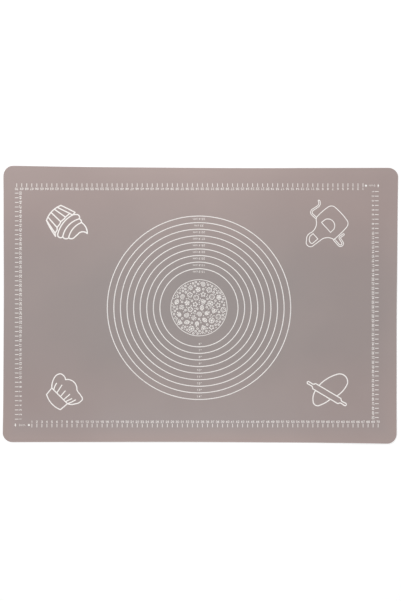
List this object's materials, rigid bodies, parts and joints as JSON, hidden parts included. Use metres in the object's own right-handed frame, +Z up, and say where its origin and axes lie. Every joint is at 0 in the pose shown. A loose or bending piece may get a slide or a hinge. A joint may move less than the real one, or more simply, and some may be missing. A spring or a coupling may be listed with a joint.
{
  "type": "silicone baking mat",
  "caption": "Thin flat rectangular silicone pastry mat with rounded corners, printed with edge rulers, concentric rolling-out rings, a round doodle and corner pictures.",
  "frame": {"origin": "middle of the mat's underside, which lies on the table", "axes": "+X along the long edges, +Z up through the printed face; the ruler on the -Y edge reads upright"},
  "size_m": [0.784, 0.548, 0.001],
  "materials": {
    "silicone_sheet": "satin",
    "white_ink": "matte"
  },
  "bodies": {
    "root": {"mat_sheet": "silicone_sheet", "ruler_ticks_front": "white_ink", "ruler_ticks_back": "white_ink", "ruler_ticks_left": "white_ink", "ruler_ticks_right": "white_ink", "ruler_numbers_front": "white_ink", "ruler_numbers_back": "white_ink", "ruler_numbers_left": "white_ink", "ruler_numbers_right": "white_ink", "unit_mark_front": "white_ink", "unit_mark_back": "white_ink", "ring_6_inch": "white_ink", "ring_7_inch": "white_ink", "ring_8_inch": "white_ink", "ring_9_inch": "white_ink", "ring_10_inch": "white_ink", "ring_11_inch": "white_ink", "ring_12_inch": "white_ink", "ring_13_inch": "white_ink", "ring_14_inch": "white_ink", "ring_labels_inch": "white_ink", "ring_labels_cm": "white_ink", "medallion_outline": "white_ink", "medallion_pattern": "white_ink", "cupcake_picture": "white_ink", "apron_picture": "white_ink", "chef_hat_picture": "white_ink", "rolling_pin_picture": "white_ink"}
  },
  "joints": []
}
